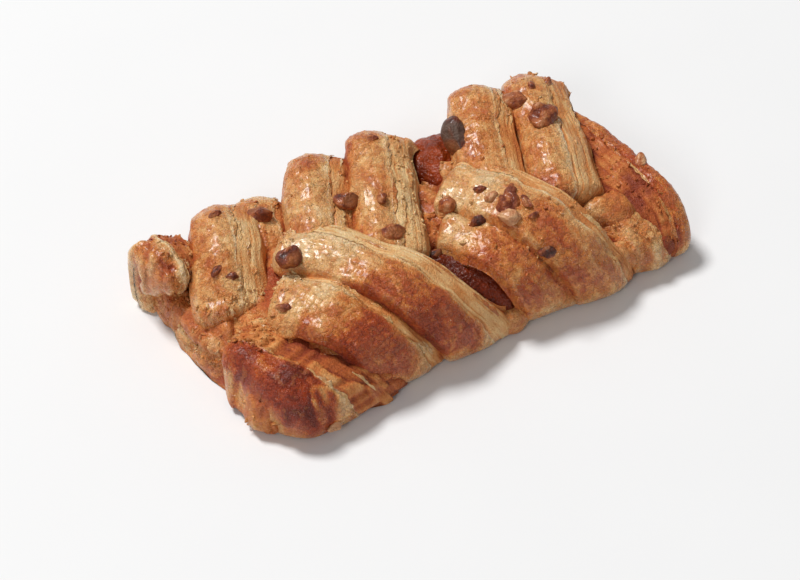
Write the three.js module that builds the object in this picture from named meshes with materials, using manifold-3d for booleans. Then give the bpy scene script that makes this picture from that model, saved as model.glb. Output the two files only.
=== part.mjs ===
// A pecan plait: a Danish pastry of laminated dough, plaited over a maple filling, with pecan pieces on top.
// Millimetres, +Z up. X runs along the plait and Y across it, with the origin under its middle.
import * as THREE from "three";
import { mergeVertices } from "three/addons/utils/BufferGeometryUtils.js";
import Module from "manifold-3d";

// The whole plait
const LENGTH = 141; // end to end
const WIDTH = 78; // over the bulge of the strips
const BASE_HEIGHT = 20; // top of the dough under the strips, at the middle
const BASE_END = 12; // the same at the ends
const BASE_INSET = 4; // how far the base stays inside the ends
const BASE_WIDTH = 64;
const CLEARANCE = 0.3; // gap round the filling and round each pecan piece
const SLIVER = 0.02; // detail below this is dropped after a cut

// How a strip rises from its side and lies over the filling
const BULGE_HEIGHT = 6; // where a strip stands out furthest
const TUCK = 4; // how far its foot turns back under
const FOOT_ANGLE = -Math.PI / 3; // where the fold starts, below the bulge
const BACK_FULLNESS = 0.78; // below 1 makes the shoulders at the back fuller
const BACK_SQUARENESS = 0.7; // how far the strips at the back are square to themselves, not to the side
const TIP_LENGTH = 7; // rounded end
const FOLD_DEPTH = 9; // thickness where it folds over the side
const STRIP_DEPTH = 13; // thickness where it lies, the lower part sunk in the base
const SIDE_FALL = 8.6; // how far the rounded side of the crust falls
const END_FALL = 16; // the same at the ends, where it comes down to the table
const LIP = 0.7; // step from the browned crust to the pale cut edge
const LAYER_WIDTH = 2.4; // of a ridge of lamination on a cut edge
const LAYER_RELIEF = 0.45; // height of a ridge
const WAVE = 0.5; // unevenness of a crest

// Facets
const FOLD_STEPS = 7;
const LIE_STEPS = 6;
const CRUST_STEPS = 4;
const BASE_STEPS = 14;
const BASE_AROUND = 18;
const FILLING_STEPS = 12;
const FILLING_AROUND = 10;

// The base and the filling
const BASE_SHIFT = 0.5; // the base lies a little towards the back
const BASE_TRIM = 0.8; // cut off underneath to leave it flat
const FILLING_LENGTH = 104;
const FILLING_WIDTH = 26;
const FILLING_HEIGHT = 10;
const FILLING_LEVEL = 10.5; // its middle

// The strips of dough, in order along each side. A strip leaves its side at rootX, inset from the full
// width, and ends at tip. It reaches its highest level, crown, when it is run in from the side, and its
// tip drops from there. Its crust reaches left and right of the crest, and beyond it lies the cut edge,
// a band that falls away and flares at the foot. A low strip comes down to the table at an end of the
// plait. Narrow is how much of the left crust remains at the tip. The turned strip has its cut edge on
// the left.
const STRIPS = [
  {
    name: "back_0", side: 1, inset: 2, rootX: -63, tip: [-62.5, -2], crown: 25.5, run: 13, drop: 9,
    left: 7, right: 4, band: 6, fall: 6, flare: 0, narrow: 0.8, low: true,
  },
  {
    name: "back_1", side: 1, inset: 2, rootX: -41.5, tip: [-59.5, -8], crown: 26.3, run: 16, drop: 5,
    left: 8, right: 5, band: 8, fall: 4, flare: 0,
  },
  {
    name: "back_1b", side: 1, inset: 2, rootX: -30.5, tip: [-38.5, 10], crown: 21.5, run: 12, drop: 4,
    left: 8, right: 5, band: 4, fall: 4, flare: 0,
  },
  {
    name: "back_2a", side: 1, inset: 0.5, rootX: -11.5, tip: [-32.5, 0], crown: 29.3, run: 16, drop: 4,
    left: 8, right: 6, band: 5, fall: 4, flare: 0,
  },
  {
    name: "back_2b", side: 1, inset: 1, rootX: 5.5, tip: [-17.5, -13], crown: 30, run: 17, drop: 5,
    left: 8, right: 6, band: 8, fall: 6, flare: 0,
  },
  {
    name: "back_3a", side: 1, inset: 2, rootX: 43.5, tip: [22.5, -6], crown: 30.2, run: 16, drop: 4,
    left: 8.5, right: 6, band: 4, fall: 4, flare: 0,
  },
  {
    name: "back_3b", side: 1, inset: 4.5, rootX: 58.5, tip: [37.5, -18], crown: 30, run: 17, drop: 6,
    left: 8.5, right: 6.5, band: 8, fall: 8, flare: -3,
  },
  {
    name: "front_1", side: -1, inset: 0.5, rootX: -49.5, tip: [-57.5, 1], crown: 21.5, run: 22, drop: 4,
    left: 17, right: 3.5, band: 7, fall: 2, flare: 2, narrow: 0.62, low: true,
  },
  {
    name: "front_2a", side: -1, inset: 5, rootX: -26.5, tip: [-42.5, -1], crown: 25, run: 23, drop: 2,
    left: 12, right: 2.5, band: 5, fall: 1.5, flare: 0,
  },
  {
    name: "front_2b", side: -1, inset: 2, rootX: -8.5, tip: [-32.5, 9], crown: 29, run: 30, drop: 2,
    left: 13, right: 3, band: 7, fall: 2, flare: 2,
  },
  {
    name: "front_3a", side: -1, inset: 2.5, rootX: 21.5, tip: [5.5, -5], crown: 25, run: 24, drop: 2,
    left: 6.5, right: 2.5, band: 5, fall: 1.5, flare: 0,
  },
  {
    name: "front_3b", side: -1, inset: 0, rootX: 38.5, tip: [15.5, 8], crown: 29, run: 30, drop: 2,
    left: 13, right: 4, band: 6.5, fall: 2, flare: 2,
  },
  {
    name: "front_3c", side: -1, inset: 1, rootX: 56.5, tip: [49.5, -17], crown: 17, run: 16, drop: 3,
    left: 7, right: 5, band: 4, fall: 3, flare: 0,
  },
  {
    name: "front_4", side: -1, inset: 2, rootX: 65.5, tip: [63.5, 25], crown: 21.2, run: 22, drop: 4,
    left: 5, right: 1.5, band: 11, fall: 7, flare: 0, low: true, turned: true,
  },
];

// Openings where the filling rises to the surface: at the front, at the back and near the right end.
// A lump gives its middle, its full sizes, and how it is turned in plan and tilted, in degrees.
const OPENINGS = [
  { at: [5, -19.5, 8], size: [26, 13, 11.5], turn: -68, rough: 0.03 },
  { at: [23.5, 19, 12], size: [17, 26, 19.5], rough: 0.05 },
  { at: [48, -14.5, 11], size: [8, 10, 11], rough: 0.04 },
];

// Rounded bits of the dough: the end of a short strip, a corner of the base and the sill of the front opening
const DOUGH_LUMPS = [
  { at: [52, -21, 14.5], size: [11, 11, 11] },
  { at: [-64.5, 32, 4.5], size: [11, 9, 8] },
  { at: [11.5, -32.5, 4.5], size: [17, 8, 11], turn: -8 },
];

// Pecan pieces on top
const PECANS = [
  { at: [-34, 23.5, 21.4], size: [7.5, 4.6, 4.6], turn: -20 },
  { at: [-38, 0.8, 26.5], size: [8, 6.4, 6], turn: 30 },
  { at: [-14, 11, 26.6], size: [8, 5.5, 5], turn: -25 },
  { at: [-10, -5.6, 25.8], size: [7.6, 5.4, 4.8], turn: -10 },
  { at: [26.1, 19, 25], size: [11, 6.4, 6], turn: 62, tilt: 30 },
  { at: [47.5, 20.8, 27], size: [8, 5, 4.8], turn: -15 },
  { at: [49.1, 8.1, 29.2], size: [8.6, 7.6, 4.6], turn: 20 },
  { at: [9.1, -3.5, 24.6], size: [5.6, 5.2, 5], turn: 10 },
  { at: [12.5, -13, 24.2], size: [6, 4, 4], turn: -20 },
  { at: [21.5, -15, 28], size: [12, 5.6, 4.4], turn: 60 },
];

// Crumbs of nut baked on to the crust
const CRUMBS = [
  { at: [24.1, -29, 19.8], size: [4.4, 3.4, 3.4], turn: 40 },
  { at: [65.9, 0, 21], size: [4, 4, 4], turn: 0 },
  { at: [-56, 8.4, 24.6], size: [3.6, 2.4, 1.8], turn: 20 },
  { at: [-53.5, 4.8, 24.6], size: [3.6, 2.6, 2], turn: -30 },
  { at: [53.1, 20, 29.6], size: [3.4, 2.4, 2], turn: 60 },
  { at: [-0.2, -12.2, 18.4], size: [4.4, 3, 2.6], turn: 15 },
  { at: [-46.8, -10.6, 22.8], size: [4.4, 2.6, 2], turn: -50 },
  { at: [-6.8, 4.8, 28.8], size: [3.2, 3.2, 2.2], turn: 0 },
  { at: [3.1, 26.2, 29.2], size: [5, 3, 1.6], turn: -20 },
  { at: [58.9, 20, 28.6], size: [4, 2.4, 1.6], turn: 30 },
  { at: [-46.5, 26, 26.4], size: [4, 2.4, 1.6], turn: 10 },
  { at: [17.2, -7, 28.4], size: [3.4, 2.4, 2], turn: -35 },
  { at: [-45.5, -35, 8], size: [4, 3.4, 3.4], turn: 0 },
];

const wasm = await Module();
wasm.setup();

const clamp01 = (x) => Math.min(1, Math.max(0, x));
const signedPower = (x, power) => Math.sign(x) * Math.abs(x) ** power;

// A closed surface through rings of equally many points, with a fan over each end, facing outwards.
function closedLoft(rings) {
  const around = rings[0].length;
  const points = rings.flat();
  const faces = [];
  for (let i = 0; i + 1 < rings.length; i++)
    for (let j = 0; j < around; j++) {
      const [a, b] = [i * around + j, i * around + ((j + 1) % around)];
      faces.push([a, b, a + around], [b, b + around, a + around]);
    }
  const middle = (ring) => ring.reduce((sum, p) => sum.add(p), new THREE.Vector3()).divideScalar(around);
  const first = points.push(middle(rings[0])) - 1;
  const last = points.push(middle(rings.at(-1))) - 1;
  const end = (rings.length - 1) * around;
  for (let j = 0; j < around; j++) {
    const next = (j + 1) % around;
    faces.push([first, next, j], [last, end + j, end + next]);
  }
  let volume = 0;
  const normal = new THREE.Vector3();
  for (const [a, b, c] of faces) volume += points[a].dot(normal.crossVectors(points[b], points[c]));
  if (volume < 0) for (const face of faces) face.reverse();
  return new THREE.BufferGeometry().setFromPoints(points).setIndex(faces.flat());
}

// A closed geometry as a solid for joining and cutting.
function solidOf(geometry) {
  const bare = new THREE.BufferGeometry().setAttribute("position", geometry.getAttribute("position"));
  const merged = mergeVertices(bare.setIndex(geometry.index), 1e-4);
  const mesh = new wasm.Mesh({
    numProp: 3,
    vertProperties: merged.getAttribute("position").array,
    triVerts: new Uint32Array(merged.index.array),
  });
  return new wasm.Manifold(mesh);
}

// A solid as a geometry.
function geometryOf(solid) {
  const { numProp, vertProperties, triVerts, numVert } = solid.getMesh();
  const positions = new Float32Array(numVert * 3);
  for (let i = 0; i < numVert; i++)
    positions.set(vertProperties.subarray(i * numProp, i * numProp + 3), i * 3);
  const geometry = new THREE.BufferGeometry()
    .setAttribute("position", new THREE.BufferAttribute(positions, 3))
    .setIndex(new THREE.BufferAttribute(triVerts, 1));
  geometry.computeVertexNormals();
  return geometry;
}

// The crest of a strip seen along the plait: how far in from the side it is, and how high.
function crestLine(strip, reach, phase) {
  const line = [];
  for (let i = 0; i <= FOLD_STEPS; i++) {
    const angle = FOOT_ANGLE + ((Math.PI / 2 - FOOT_ANGLE) * i) / FOLD_STEPS;
    const [run, rise] = angle < 0 ? [TUCK, BULGE_HEIGHT] : [strip.run, strip.crown - BULGE_HEIGHT];
    const power = angle > 0 && strip.side > 0 ? BACK_FULLNESS : 1;
    const inwards = run * (1 - Math.max(0, Math.cos(angle)) ** power);
    line.push([inwards, BULGE_HEIGHT + rise * signedPower(Math.sin(angle), power)]);
  }
  for (let i = 1; i <= LIE_STEPS; i++) {
    const share = i / LIE_STEPS;
    const along = strip.run + (reach - strip.run) * share;
    const wave = WAVE * Math.sin(along / 4 + phase) * Math.sin(Math.PI * share);
    line.push([along, strip.crown - strip.drop * share ** 2 + wave]);
  }
  return line;
}

// The outline of a strip across its crest: [across, outwards] from the left foot over the crust, the lip, the
// laminated cut edge and back underneath.
function stripOutline(strip, foot, left, lying) {
  const outline = [];
  const depth = THREE.MathUtils.lerp(FOLD_DEPTH, STRIP_DEPTH, lying);
  const sideFall = THREE.MathUtils.lerp(SIDE_FALL, strip.low ? END_FALL : SIDE_FALL, lying);
  for (let i = 0; i <= CRUST_STEPS; i++) {
    const angle = (Math.PI / 2) * (1 - i / CRUST_STEPS);
    outline.push([-left * Math.sin(angle), -sideFall * (1 - Math.cos(angle))]);
  }
  const edgeFall = 0.05 * strip.right ** 2;
  outline.push([strip.right, -edgeFall]);
  const band = strip.band + strip.flare * foot;
  const steps = 2 * Math.round(strip.band / LAYER_WIDTH);
  for (let i = 0; i <= steps; i++) {
    const share = i / steps;
    const ridge = i % 2 ? LAYER_RELIEF : 0;
    outline.push([strip.right + 0.2 + band * share, ridge - edgeFall - LIP - strip.fall * share ** 1.5]);
  }
  outline.push([strip.right + 0.6 * band, -depth], [-0.6 * left, -depth]);
  return outline;
}

// One strip of dough, folded up over its side and laid slanting across the plait. Its outline is carried
// along X, so that the whole strip leaves the side together.
function stripGeometry(strip, index) {
  const root = new THREE.Vector2(strip.rootX, strip.side * (WIDTH / 2 - strip.inset));
  const inward = new THREE.Vector2(...strip.tip).sub(root);
  const reach = inward.length();
  inward.divideScalar(reach);
  const square = new THREE.Vector3(Math.abs(inward.y), strip.side * inward.x, 0);
  const alongSide = new THREE.Vector3(1 / Math.abs(inward.y), 0, 0);
  const across = alongSide.lerp(square, strip.side > 0 ? BACK_SQUARENESS : 0);
  if (strip.turned) across.negate();
  const line = crestLine(strip, reach, 1.7 * index);
  const rings = line.map(([along, height], i) => {
    const before = line[Math.max(0, i - 1)];
    const after = line[Math.min(line.length - 1, i + 1)];
    const [run, rise] = [after[0] - before[0], after[1] - before[1]];
    const outwards = new THREE.Vector3(0, rise * strip.side, run).normalize();
    const crest = new THREE.Vector3(root.x + inward.x * along, root.y + inward.y * along, height);
    const end = clamp01((reach - along) / TIP_LENGTH);
    const taper = 0.06 + 0.94 * Math.sqrt(1 - (1 - end) ** 2);
    const foot = clamp01(1 - along / strip.run);
    const left = strip.left * (1 - (1 - (strip.narrow ?? 1)) * clamp01(along / reach));
    const lying = clamp01((along / strip.run - 0.5) / 0.8);
    return stripOutline(strip, foot, left, lying).map(([n, h]) => {
      const sunk = -SIDE_FALL + (h + SIDE_FALL) * taper;
      return crest.clone().addScaledVector(outwards, sunk).addScaledVector(across, n * taper);
    });
  });
  return closedLoft(rings);
}

// The flat-bottomed mound of dough that the strips are folded over, rounded at its ends.
function baseGeometry() {
  const half = LENGTH / 2 - BASE_INSET;
  const rings = [];
  for (let i = 0; i <= BASE_STEPS; i++) {
    const share = -Math.cos((Math.PI * (i + 0.2)) / (BASE_STEPS + 0.4));
    const round = (1 - Math.abs(share) ** 7) ** 0.4;
    const halfWidth = (BASE_WIDTH / 2) * (0.8 + 0.2 * round);
    const mound = BASE_END + (BASE_HEIGHT - BASE_END) * (1 - share ** 4);
    const height = mound * (0.6 + 0.4 * round);
    const ring = [];
    for (let j = 0; j < BASE_AROUND; j++) {
      const angle = (2 * Math.PI * (j + 0.5)) / BASE_AROUND;
      const y = BASE_SHIFT + halfWidth * signedPower(Math.cos(angle), 0.7);
      const z = (height / 2) * (1 + signedPower(Math.sin(angle), 0.8)) - BASE_TRIM;
      ring.push(new THREE.Vector3(half * share, y, z));
    }
    rings.push(ring);
  }
  return closedLoft(rings);
}

// The log of filling along the middle, uneven as it was spread.
function fillingGeometry(grow) {
  const rings = [];
  for (let i = 0; i <= FILLING_STEPS; i++) {
    const share = -Math.cos((Math.PI * (i + 0.3)) / (FILLING_STEPS + 0.6));
    const round = Math.sqrt(1 - share ** 2) ** 0.5;
    const lumpy = 1 + 0.08 * Math.sin(9 * share) + 0.05 * Math.sin(23 * share);
    const x = (FILLING_LENGTH / 2 + grow) * share;
    const ring = [];
    for (let j = 0; j < FILLING_AROUND; j++) {
      const angle = (2 * Math.PI * j) / FILLING_AROUND;
      const y = (FILLING_WIDTH / 2) * round * lumpy * Math.cos(angle);
      const z = FILLING_LEVEL + (FILLING_HEIGHT / 2) * round * lumpy * Math.sin(angle);
      ring.push(new THREE.Vector3(x, y + grow * Math.cos(angle), z + grow * Math.sin(angle)));
    }
    rings.push(ring);
  }
  return closedLoft(rings);
}

// A lump with the given full sizes, turned in plan and tilted up at one end, its surface uneven.
function lumpGeometry({ at, size, turn = 0, tilt = 0, facets = 1, rough = 0.12 }, grow = 0) {
  const ball = new THREE.IcosahedronGeometry(1, facets).deleteAttribute("normal").deleteAttribute("uv");
  const geometry = mergeVertices(ball);
  const position = geometry.getAttribute("position");
  const v = new THREE.Vector3();
  for (let i = 0; i < position.count; i++) {
    v.fromBufferAttribute(position, i);
    const broad = Math.sin(3.1 * v.x + at[0]) * Math.cos(2.7 * v.y + at[1]);
    const swell = broad + 0.6 * Math.sin(4.3 * v.z + at[2] + 2 * v.x);
    v.multiplyScalar(1 + rough * swell);
    position.setXYZ(i, v.x * (size[0] / 2 + grow), v.y * (size[1] / 2 + grow), v.z * (size[2] / 2 + grow));
  }
  geometry.rotateY(THREE.MathUtils.degToRad(-tilt));
  geometry.rotateZ(THREE.MathUtils.degToRad(turn));
  return geometry.translate(...at);
}

// The filling, with the places where it rises into the openings
let filling = solidOf(fillingGeometry(0));
let fillingRoom = solidOf(fillingGeometry(CLEARANCE));
let dough = solidOf(baseGeometry());
for (const opening of OPENINGS) {
  filling = filling.add(solidOf(lumpGeometry(opening)));
  fillingRoom = fillingRoom.add(solidOf(lumpGeometry(opening, CLEARANCE)));
  const [x, y, z] = opening.at;
  const [length, width, height] = opening.size;
  const above = { ...opening, at: [x, y, z + height], size: [length, width, 2 * height] };
  dough = dough.subtract(solidOf(lumpGeometry(above, 2 * CLEARANCE)));
}

// The dough: base, strips and small lumps joined, cut flat, with room for the filling and the pecans
STRIPS.forEach((strip, index) => (dough = dough.add(solidOf(stripGeometry(strip, index)))));
for (const lump of DOUGH_LUMPS) dough = dough.add(solidOf(lumpGeometry(lump)));
for (const crumb of CRUMBS) dough = dough.add(solidOf(lumpGeometry({ ...crumb, facets: 0 })));
const below = new THREE.BoxGeometry(2 * LENGTH, 2 * LENGTH, LENGTH).translate(0, 0, -LENGTH / 2);
dough = dough.subtract(solidOf(below)).subtract(fillingRoom);
for (const pecan of PECANS) {
  const pocket = solidOf(lumpGeometry(pecan, CLEARANCE));
  dough = dough.subtract(pocket);
  filling = filling.subtract(pocket);
}

// The largest body of a solid, without loose scraps and without the slivers that cutting leaves.
function largest(solid) {
  const bodies = solid.simplify(SLIVER).decompose();
  return bodies.reduce((a, b) => (b.volume() > a.volume() ? b : a));
}

const crust = new THREE.MeshStandardMaterial({ name: "crust", color: 0xb87840, roughness: 0.42 });
const syrup = new THREE.MeshStandardMaterial({ name: "syrup", color: 0x5c2615, roughness: 0.22 });
const nut = new THREE.MeshStandardMaterial({ name: "nut", color: 0x6a3f2a, roughness: 0.5, metalness: 0 });

const plait = new THREE.Group();
function addNode(name, geometry, material) {
  const mesh = new THREE.Mesh(geometry, material);
  mesh.name = name;
  plait.add(mesh);
}
addNode("pastry", geometryOf(largest(dough)), crust);
addNode("filling", geometryOf(largest(filling)), syrup);
PECANS.forEach((pecan, index) => {
  addNode(`pecan_${index + 1}`, geometryOf(solidOf(lumpGeometry(pecan))), nut);
});
export default plait;
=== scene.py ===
import math
from dataclasses import dataclass

import bmesh
import bpy
import numpy as np
from mathutils import Matrix, Vector
from mathutils.bvhtree import BVHTree


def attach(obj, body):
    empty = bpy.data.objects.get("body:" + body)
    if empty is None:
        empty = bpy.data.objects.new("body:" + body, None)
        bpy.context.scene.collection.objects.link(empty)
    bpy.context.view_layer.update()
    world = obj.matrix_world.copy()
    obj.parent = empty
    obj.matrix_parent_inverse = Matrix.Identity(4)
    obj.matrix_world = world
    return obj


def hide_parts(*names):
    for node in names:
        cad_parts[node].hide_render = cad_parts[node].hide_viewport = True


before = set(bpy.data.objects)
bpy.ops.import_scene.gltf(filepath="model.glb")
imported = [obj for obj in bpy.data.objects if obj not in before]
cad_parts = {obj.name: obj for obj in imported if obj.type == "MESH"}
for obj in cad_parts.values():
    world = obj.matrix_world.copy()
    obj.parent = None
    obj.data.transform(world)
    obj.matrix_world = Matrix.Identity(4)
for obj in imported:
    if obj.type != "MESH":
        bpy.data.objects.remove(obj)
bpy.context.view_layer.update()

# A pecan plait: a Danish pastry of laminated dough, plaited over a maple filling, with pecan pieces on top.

MM = 0.001  # shapes are worked out in millimetres and made in metres

# The whole plait
LENGTH = 141
WIDTH = 78
BASE_HEIGHT = 20
BASE_END = 12
BASE_INSET = 4
BASE_INSET_LEFT = 3.2
BASE_WIDTH = 64
BASE_SHIFT = 0.5
BASE_TRIM = 0.8
FILLING_LENGTH = 104
FILLING_WIDTH = 26
FILLING_HEIGHT = 10
FILLING_LEVEL = 10.5
FILLING_RINGS = 90
FILLING_AROUND = 60

# How a strip rises from its side and lies over the filling
BULGE_HEIGHT = 6
TUCK = 4
FOOT_ANGLE = -math.pi / 3
BACK_FULLNESS = 0.78
BACK_SQUARENESS = 0.7
TIP_LENGTH = 4.5
FOLD_DEPTH = 9
STRIP_DEPTH = 13
SIDE_FALL = 8.6
END_FALL = 16
EDGE_FALL = 0.05
EDGE_DROP = 2.4  # how far the left edge of a strip drops onto its neighbour
LIP = 0.24
LIP_WIDTH = 0.2
WAVE = 0.5

# Points on a strip, along it and round it
CREST_POINTS = 120  # on each half of the line that its rings are spaced on
TIP_BEND = math.radians(88)
RINGS = 184
TIP_RINGS = 40
LEFT_COLUMNS = 38
RIGHT_COLUMNS = 16
BAND_COLUMNS = 46
UNDER_COLUMNS = 8
CRUST_COLUMNS = LEFT_COLUMNS + RIGHT_COLUMNS
LEFT = 1 - np.linspace(0, 1, LEFT_COLUMNS, endpoint=False) ** 1.25  # 1 at the left edge, 0 at the crest
TOP = np.linspace(0, 1, RIGHT_COLUMNS)  # from the crest to the lip
CUT = np.linspace(0, 1, BAND_COLUMNS)  # from the lip to the foot of the cut edge
UNDER = np.zeros(UNDER_COLUMNS)
BESIDE = np.concatenate([LEFT, 0 * TOP, 0 * CUT, UNDER])
DOWN_CUT = np.concatenate([np.zeros(CRUST_COLUMNS), CUT, UNDER])
IS_CRUST = np.concatenate([np.ones(CRUST_COLUMNS), 0 * CUT, UNDER])
IS_CUT = np.concatenate([np.zeros(CRUST_COLUMNS), np.ones(BAND_COLUMNS), UNDER])

# Relief of the dough
SHEET = 1.6  # thickness of a sheet of the lamination on a cut edge
GROOVE = 0.14  # depth of the gaps between sheets
SHEET_STEP = 0.2  # how far one sheet stands over the next
FIBRE = 0.04
CRUST_SWELL = 0.55
CRUST_RIPPLE = 0.3
CRUST_GRAIN = 0.12
CRUST_PLATE = 0.1  # thickness of a lifted flake of crust
CREASE = 0.12
FRAY = 0.4  # depth to which the crust has come off
BLISTER = 0.32
BLISTER_SPACING = 2.3

# Added to the place across each kind of piece, so that their streaks differ
STRIP_APART = 100
BASE_APART = 2000
LUMPS_APART = 3000
FLAKES_APART = 4000
GRAINS_APART = 5000

# Seeds of what is drawn by chance
FLAKE_SEED = 12
GRAIN_SEED = 31
NUT_SEED = 31
CRUMB_SEED = 131


@dataclass
class Strip:
    """A strip of dough: where it lies, its crust beside the crest, its cut edge and how it is baked."""

    name: str
    side: int  # 1 at the back, -1 at the front
    inset: float  # of its foot, from the pastry's side
    root_x: float
    tip: tuple
    crown: float  # height of its crest
    run: float  # how far in from the foot it reaches its crown
    drop: float  # from the crown to the tip
    left: float  # width of crust left of the crest
    right: float
    band: float  # width of the cut edge
    fall: float  # drop across the cut edge
    valley: float = 5  # drop across the left side, where the strip lies
    valley_foot: float = 3
    narrow: float = 1  # left width at the tip, as a share of that at the foot
    low: bool = False  # the left side falls to the table
    turned: bool = False  # left and right change places
    band_tip: float = 1
    top_bake: float = 0.34
    slope_bake: float = 0.42
    cut_bake: float = 0
    torn: float = 0.1  # how torn the sheets of the cut edge are
    craggy: float = 0
    foot: float = 1  # right width at the foot, as a share
    frayed: float = 0  # 1 where crust has come off
    pale_lip: float = 1
    coarse: float = 1  # thickness of the sheets, as a share of the usual


STRIPS = [
    Strip(
        "back_0", 1, 2.5, -64.5, (-64, 12.5), 24.8, 13, 8, 5.5, 2, 8, 5,
        narrow=1.1, low=True, top_bake=0.5, slope_bake=0.56, cut_bake=0.25, torn=0.7, craggy=1.2,
    ),
    Strip("back_1", 1, 2, -41.5, (-58.5, -3), 26.3, 16, 10.5, 8, 3.8, 7.5, 4.5, band_tip=1.3, cut_bake=-0.15),
    Strip("back_1b", 1, 2, -30.5, (-38.5, 10), 21.5, 12, 4, 8, 5, 4, 4, top_bake=0.22, slope_bake=0.3),
    Strip("back_2a", 1, 0.5, -9.5, (-31.5, 0), 29.3, 16, 4, 7.5, 5.2, 5.5, 3.2, band_tip=1.4),
    Strip("back_2b", 1, 1, 8.5, (-17.5, -13), 30, 17, 5, 7.5, 4.8, 6, 4.5, band_tip=1.6, cut_bake=-0.25),
    Strip("back_3a", 1, 2, 43.5, (22.5, -6), 30.2, 16, 4, 8.5, 4.6, 4.6, 3, band_tip=1.5, cut_bake=0.15),
    Strip("back_3b", 1, 4.5, 58.5, (37.5, -18), 30, 17, 6, 7.5, 4.6, 6, 5, band_tip=1.7, foot=0.55),
    Strip(
        "front_1", -1, 0.5, -41.5, (-63.5, -6), 18, 19, 2, 18.8, 1, 16, 2.5, 8, 11,
        narrow=0.29, low=True, band_tip=0.8, top_bake=0.72, slope_bake=0.86, cut_bake=0.3, torn=0.6, frayed=1,
        coarse=2.4,
    ),
    Strip(
        "front_2a", -1, 4, -18.5, (-44, 0), 25, 23, 3, 12, 2.5, 5, 1.5, 5, 2.5,
        narrow=0.95, top_bake=0.2, slope_bake=0.65, cut_bake=-0.35,
    ),
    Strip(
        "front_2b", -1, 2, 0.5, (-36.5, 11.5), 29, 30, 3, 9.6, 3, 6.8, 2, 4.2, 2.5,
        narrow=0.74, band_tip=1.1, top_bake=0.17, slope_bake=0.63, cut_bake=-0.4,
    ),
    Strip(
        "front_3a", -1, 2.5, 29, (4.5, -4), 25, 24, 2, 12.2, 2.5, 3, 1, 4.2, 2.5,
        narrow=0.62, top_bake=0.16, slope_bake=0.54, cut_bake=0.2,
    ),
    Strip(
        "front_3b", -1, 0, 42.5, (14.5, 9), 29.8, 30, 5, 11.5, 4, 3.5, 2, 4.2, 2.5,
        narrow=0.95, band_tip=2.2, top_bake=0.18, slope_bake=0.47, cut_bake=-0.1,
    ),
    Strip(
        "front_3c", -1, 1, 58, (49.5, -17), 16.6, 16, 3, 8, 5, 4, 3,
        top_bake=0.26, slope_bake=0.34, cut_bake=0.2, torn=0.6, craggy=0.5,
    ),
    Strip(
        "front_4", -1, 2, 65.5, (63.5, 25), 21.2, 22, 4, 5, 1.5, 11, 7,
        low=True, turned=True, top_bake=0.42, slope_bake=0.54, cut_bake=0.45, torn=0.5, craggy=0.3,
        pale_lip=-0.2, coarse=1.8,
    ),
]


@dataclass
class Lump:
    """A rounded lump: its middle, its full sizes, how it is turned in plan and tilted, and its shade."""

    at: tuple
    size: tuple
    turn: float = 0
    tilt: float = 0
    rough: float = 0.12  # how far it is from an even oval
    tone: float = 0.5
    char: float = 0  # how scorched it is
    crag: float = 0  # how torn or jagged it is
    blunt: float = 2  # 2 for oval ends, more for square ones


OPENINGS = [
    Lump((4.5, -20, 11.3), (29, 12.5, 13), -52, -18, rough=0.03, tone=0.32),
    Lump((21.6, 19, 12), (22.5, 26, 19.5), rough=0.05, tone=0.52),
    Lump((48, -14.5, 11), (8, 10, 11), rough=0.04, tone=0.35),
]
DOUGH_LUMPS = [
    Lump((50.5, -21.8, 13.8), (17, 11, 13), -25, tone=0.36, crag=0.3),
    Lump((-62.6, 32, 4.5), (10, 9, 8), tone=0.42, crag=0.3),
    Lump((-59, 5, 9), (14, 22, 12), -10, tone=0.38, crag=0.7),
    Lump((-48, 2, 9.5), (11, 18, 14), tone=0.36, crag=0.7),
    Lump((-62.3, -25.4, 5), (8.6, 11, 12.6), 30, tone=0.42, crag=0.5),
    Lump((-62.5, 18, 6), (10, 16, 12), tone=0.4, crag=0.5),
    Lump((59.5, 13, 13.5), (13, 22, 16), -20, tone=0.3, crag=0.4),
    Lump((8, 4, 15), (10, 26, 15), 10, tone=0.36, crag=0.5),
    Lump((5, -4, 14), (10, 16, 15), 10, tone=0.4, crag=0.5),
    Lump((20.5, 13, 15), (17, 12, 11), tone=0.42, crag=0.5),
    Lump((11, -31.5, 3.5), (12, 7, 8), -8, tone=0.3),
    Lump((48, -31.5, 7.5), (10, 9, 13), 20, tone=0.26, crag=0.4),
    Lump((60.5, -33, 6.5), (10, 8, 10), 25, tone=0.8, crag=0.4),
]
PECANS = [
    Lump((-34, 23.2, 22.4), (7.5, 4.6, 4.6), -20, tone=0.34),
    Lump((-38, 0.8, 26.5), (8, 6.4, 6), 30, tone=0.3, char=0.3),
    Lump((-14, 11, 26.6), (8, 5.5, 5), -25, tone=0.36),
    Lump((-10, -5.6, 25.8), (7.6, 5.4, 4.8), -10, tone=0.48),
    Lump((25.2, 16.8, 26.4), (12, 7, 6.4), 62, 30, tone=0.14, char=0.72, crag=0.3, blunt=3.2),
    Lump((47.2, 18.6, 28), (9, 5.6, 5), -38, tone=0.55),
    Lump((49.1, 8.1, 29.4), (9, 8, 5), 20, tone=0.42, crag=0.45),
    Lump((9.1, -3.5, 24.6), (5.6, 5.2, 5), 10, tone=0.56),
    Lump((12.5, -13, 24.2), (6, 4, 4), -20, tone=0.15, char=0.4),
    Lump((21.5, -15, 28), (12, 7, 5), 60, tone=0.4, char=0.1, crag=0.7),
]
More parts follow.
